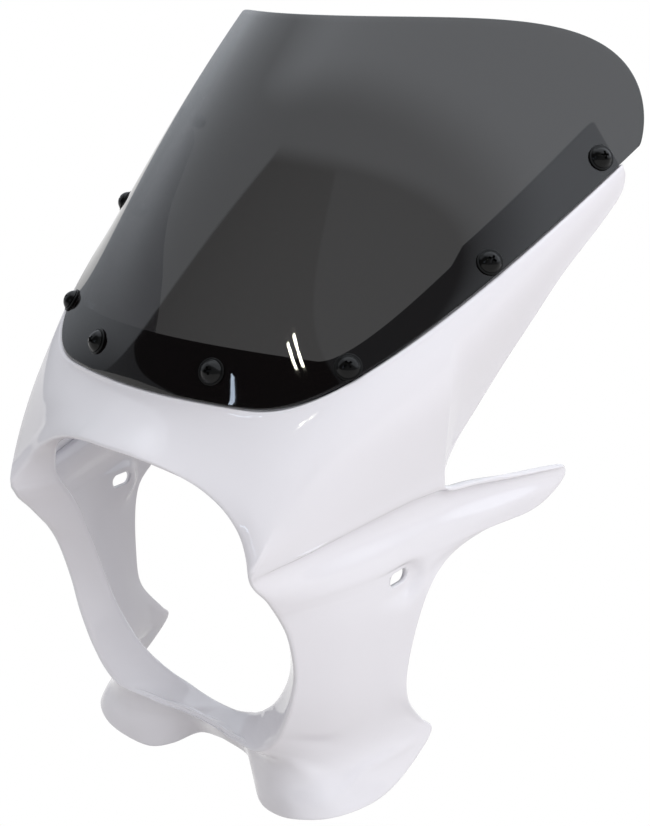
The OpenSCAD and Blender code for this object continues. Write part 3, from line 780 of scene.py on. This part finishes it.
screw_mesh = lathe("screw", screw_profile())
washer_mesh = lathe("washer", washer_profile())
fasteners = []
for side, k, p, n in screw_frames():
    spin = Matrix.Rotation(math.radians(TURN_EACH * k + (TURN_LEFT if side == "left" else 0)), 4, "Z")
    at = Matrix.Translation(p / 1000) @ upright_to(n) @ spin
    for kind, source in (("screw", screw_mesh), ("washer", washer_mesh)):
        cad = kind + "_" + side + "_" + str(k)
        ob = add_object(cad + "_body", source.copy())
        if kind == "screw":
            cut(ob, cutter(cross_cut))
        ob.data.transform(at)
        fasteners.append((kind, cad, ob))


# Materials
def node(tree, kind, **props):
    n = tree.nodes.new(kind)
    for k, v in props.items():
        setattr(n, k, v)
    return n


def material(name, color):
    m = bpy.data.materials.new(name)
    m.use_nodes = True
    shader = m.node_tree.nodes["Principled BSDF"]
    shader.inputs["Base Color"].default_value = (*color, 1)
    return m, m.node_tree, shader


def noise(tree, scale, detail):
    """noise on the object's own coordinates"""
    place = node(tree, "ShaderNodeTexCoord")
    n = node(tree, "ShaderNodeTexNoise")
    n.inputs["Scale"].default_value = scale
    n.inputs["Detail"].default_value = detail
    tree.links.new(place.outputs["Object"], n.inputs["Vector"])
    return n.outputs["Fac"]


def vary(tree, value, low, high, target):
    """a value from 0 to 1 moves an input from low to high"""
    step = node(tree, "ShaderNodeMapRange")
    step.inputs["To Min"].default_value = low
    step.inputs["To Max"].default_value = high
    tree.links.new(value, step.inputs["Value"])
    tree.links.new(step.outputs["Result"], target)


def grain(tree, value, strength, distance, shader):
    bump = node(tree, "ShaderNodeBump")
    bump.inputs["Strength"].default_value = strength
    bump.inputs["Distance"].default_value = distance
    tree.links.new(value, bump.inputs["Height"])
    tree.links.new(bump.outputs["Normal"], shader.inputs["Normal"])


def white_plastic():
    m, tree, shader = material("white_plastic", (0.80, 0.795, 0.848))
    shader.inputs["IOR"].default_value = 1.49
    grain(tree, noise(tree, 420, 3), 0.01, 0.0005, shader)
    vary(tree, noise(tree, 9, 2), 0.05, 0.07, shader.inputs["Roughness"])
    return m


def plain(name, color, rough, bump=0.0, scale=300, metallic=0.0, alpha=1.0, specular=0.5):
    m, tree, shader = material(name, color)
    shader.inputs["Metallic"].default_value = metallic
    shader.inputs["Alpha"].default_value = alpha
    shader.inputs["Specular IOR Level"].default_value = specular
    value = noise(tree, scale, 4)
    vary(tree, value, rough * 0.8, rough * 1.2, shader.inputs["Roughness"])
    if bump:
        grain(tree, value, bump, 0.0003, shader)
    return m


def smoked_sheet():
    """the sheet lets less light through where it is looked at along its face"""
    m = plain("smoked_sheet", (0.003, 0.002, 0.002), 0.02, alpha=0.80)
    grazing = node(m.node_tree, "ShaderNodeLayerWeight")
    grazing.inputs["Blend"].default_value = 0.5
    shader = m.node_tree.nodes["Principled BSDF"]
    vary(m.node_tree, grazing.outputs["Facing"], 0.788, 0.89, shader.inputs["Alpha"])
    return m


WHITE = white_plastic()
SMOKE = smoked_sheet()
FILM = plain("black_film", (0.006, 0.006, 0.009), 0.2, bump=0.3, scale=160)
BLACK = plain("black_fastener", (0.004, 0.004, 0.004), 0.16, bump=0.04, specular=0.18)
RUBBER = plain("black_rubber", (0.005, 0.005, 0.005), 0.4, bump=0.15, specular=0.2)
ZINC = plain("zinc", (0.42, 0.42, 0.44), 0.3, metallic=1.0)


def dress(ob, mat):
    ob.data.materials.clear()
    ob.data.materials.append(mat)


def fit(ob, mat, cad):
    dress(ob, mat)
    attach(ob, "root")
    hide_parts(cad)


fit(shell, WHITE, "cowl_shell")
fit(screen, SMOKE, "windscreen")
fit(band, FILM, "screen_band")
for kind, cad, ob in fasteners:
    if kind == "screw":
        fit(ob, BLACK, cad)
    else:
        fit(ob, RUBBER, cad)
for name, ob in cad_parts.items():
    if name.startswith("nut_"):
        for slot in ob.material_slots:
            slot.material = ZINC

# Stage: a floor just under the flaps, in metres, which is white to the camera and in reflections
FLOOR_Z, FLOOR_HALF = -0.1515, 6
FLOOR_COLOR = (0.50, 0.46, 0.44)


def combined(tree, kind, p, q):
    m = node(tree, "ShaderNodeMath", operation=kind)
    tree.links.new(p, m.inputs[0])
    tree.links.new(q, m.inputs[1])
    return m.outputs[0]


def mix_shaders(tree, share, p, q):
    m = node(tree, "ShaderNodeMixShader")
    for k, source in enumerate((share, p, q)):
        tree.links.new(source, m.inputs[k])
    return m.outputs[0]


def floor_material():
    m, tree, shader = material("floor", FLOOR_COLOR)
    shader.inputs["Roughness"].default_value = 0.9
    white = node(tree, "ShaderNodeEmission")
    white.inputs["Color"].default_value = (1, 1, 1, 1)
    white.inputs["Strength"].default_value = 1
    rays = node(tree, "ShaderNodeLightPath").outputs
    mirrored = combined(tree, "MAXIMUM", rays["Is Glossy Ray"], rays["Is Transmission Ray"])
    seen = combined(tree, "MAXIMUM", rays["Is Camera Ray"], mirrored)
    mixed = mix_shaders(tree, seen, shader.outputs[0], white.outputs[0])
    tree.links.new(mixed, tree.nodes["Material Output"].inputs["Surface"])
    return m


floor_mesh = bpy.data.meshes.new("floor")
floor_corners = [(x * FLOOR_HALF, y * FLOOR_HALF, FLOOR_Z) for x, y in ((-1, -1), (1, -1), (1, 1), (-1, 1))]
floor_mesh.from_pydata(floor_corners, [], [(0, 1, 2, 3)])
floor = add_object("floor", floor_mesh)
dress(floor, floor_material())

# World: plain light on dull surfaces, white to the camera, and a room that only shows in reflections
AMBIENT = 0.68
ROOM_COLOR = (0.88, 0.93, 1.0)
world = bpy.data.worlds.new("world")
bpy.context.scene.world = world
world.use_nodes = True
sky = world.node_tree
sky.nodes.remove(sky.nodes["Background"])


def edge_in_room(way, start, end, dark, bright):
    """the light steps from dark to bright where the direction's share along a way goes from start to end"""
    dot = node(sky, "ShaderNodeVectorMath", operation="DOT_PRODUCT")
    sky.links.new(direction, dot.inputs[0])
    dot.inputs[1].default_value = way
    step = node(sky, "ShaderNodeMapRange", interpolation_type="SMOOTHSTEP")
    step.inputs["From Min"].default_value, step.inputs["From Max"].default_value = start, end
    step.inputs["To Min"].default_value, step.inputs["To Max"].default_value = dark, bright
    sky.links.new(dot.outputs["Value"], step.inputs["Value"])
    return step.outputs["Result"]


def background(color, strength):
    b = node(sky, "ShaderNodeBackground")
    b.inputs["Color"].default_value = (*color, 1)
    b.inputs["Strength"].default_value = strength
    return b


direction = node(sky, "ShaderNodeTexCoord").outputs["Generated"]
# a pale wall on the left with a crisp edge, dimmer towards the ground, a bright ceiling in two steps,
# which fades to the left and towards the ground, and a faint panel in front
wall_edge = edge_in_room((-0.725, 0.568, 0.389), 0.355, 0.385, 0.0, 1.0)
wall_fade = edge_in_room((0, 0, 1), -0.05, 0.30, 0.45, 1.0)
ceiling_near = edge_in_room((-0.033, 0.684, 0.728), 0.375, 0.43, 0.0, 1.0)
ceiling_far = edge_in_room((-0.023, 0.836, 0.548), 0.27, 0.39, 0.0, 1.15)
ceiling_x = edge_in_room((1, 0, 0), -1.0, -0.4, 0.0, 1.0)
ceiling_z = edge_in_room((0, 0, 1), -0.05, 0.25, 0.25, 1.0)
panel = edge_in_room((0.294, 0.754, -0.587), -0.80, -0.788, 0.06, 0.30)
wall_light = combined(sky, "MULTIPLY", wall_edge, wall_fade)
ceiling_light = combined(sky, "ADD", ceiling_near, ceiling_far)
ceiling_fade = combined(sky, "MULTIPLY", ceiling_x, ceiling_z)
ceiling = combined(sky, "MULTIPLY", ceiling_light, ceiling_fade)
room = combined(sky, "MAXIMUM", combined(sky, "MAXIMUM", wall_light, ceiling), panel)
room_light = background(ROOM_COLOR, 1)
sky.links.new(room, room_light.inputs["Strength"])
rays = node(sky, "ShaderNodeLightPath").outputs
seen = combined(sky, "MAXIMUM", rays["Is Camera Ray"], rays["Is Transmission Ray"])
ambient = background((1, 1, 1), AMBIENT)
white = background((1, 1, 1), 1)
unseen = mix_shaders(sky, rays["Is Glossy Ray"], ambient.outputs[0], room_light.outputs[0])
all_light = mix_shaders(sky, seen, unseen, white.outputs[0])
sky.links.new(all_light, sky.nodes["World Output"].inputs["Surface"])


def area(name, at, aim, size, power, color=(1, 1, 1), long_axis=None):
    """an area lamp: one with a long axis is set along it, and shows in reflections"""
    data = bpy.data.lights.new(name, "AREA")
    data.shape = "RECTANGLE"
    data.size, data.size_y = size
    data.energy = power
    data.color = color
    lamp = add_object(name, data)
    away = (Vector(at) - Vector(aim)).normalized()
    if long_axis is None:
        turn = (-away).to_track_quat("-Z", "Y").to_matrix()
    else:
        along = (Vector(long_axis) - away * away.dot(Vector(long_axis))).normalized()
        turn = Matrix((along, away.cross(along), away)).transposed()
    lamp.matrix_world = Matrix.Translation(Vector(at)) @ turn.to_4x4()
    lamp.visible_glossy = long_axis is not None
    lamp.visible_camera = False


# Lamps in metres and watts: a key from above on the right, a side light, and small ones a long way off, each
# placed where its reflection falls on the part as it should. Those give the point they are seen in, the way
# from there to the lamp, its long side, its size, strength and colour.
area("key", (1.7, -0.2, 1.3), (0, 0, 0.05), (1.2, 1.2), 12)
area("side", (2.1, -0.35, 0.25), (0, 0, 0.0), (1.0, 1.0), 10)
FAR = 2.9
WARM, COOL = (1, 0.99, 0.82), (0.70, 0.82, 1)
SPOT_AT, SPOT_AXIS, SPOT_SIZE = (0.0798, -0.0468, 0.1266), (0.65, 0.66, 0.36), (0.044, 0.030)
WINDOW_AT, WINDOW_AXIS, WINDOW_SIZE = (0.0565, -0.0684, 0.1082), (0.291, 0.229, 0.929), (0.95, 0.042)
SPOT_POWER, WINDOW_POWER = 0.34, 2.0
for name, at, way, axis, size, power, color in (
        ("spot_1", SPOT_AT, (0.195, -0.685, 0.703), SPOT_AXIS, SPOT_SIZE, SPOT_POWER, WARM),
        ("spot_2", SPOT_AT, (0.223, -0.657, 0.718), SPOT_AXIS, SPOT_SIZE, SPOT_POWER, WARM),
        ("window", WINDOW_AT, (-0.157, -0.921, 0.356), WINDOW_AXIS, WINDOW_SIZE, WINDOW_POWER, COOL)):
    area(name, Vector(at) + Vector(way) * FAR, at, size, power, color, axis)

bpy.context.scene.view_settings.view_transform = "Standard"
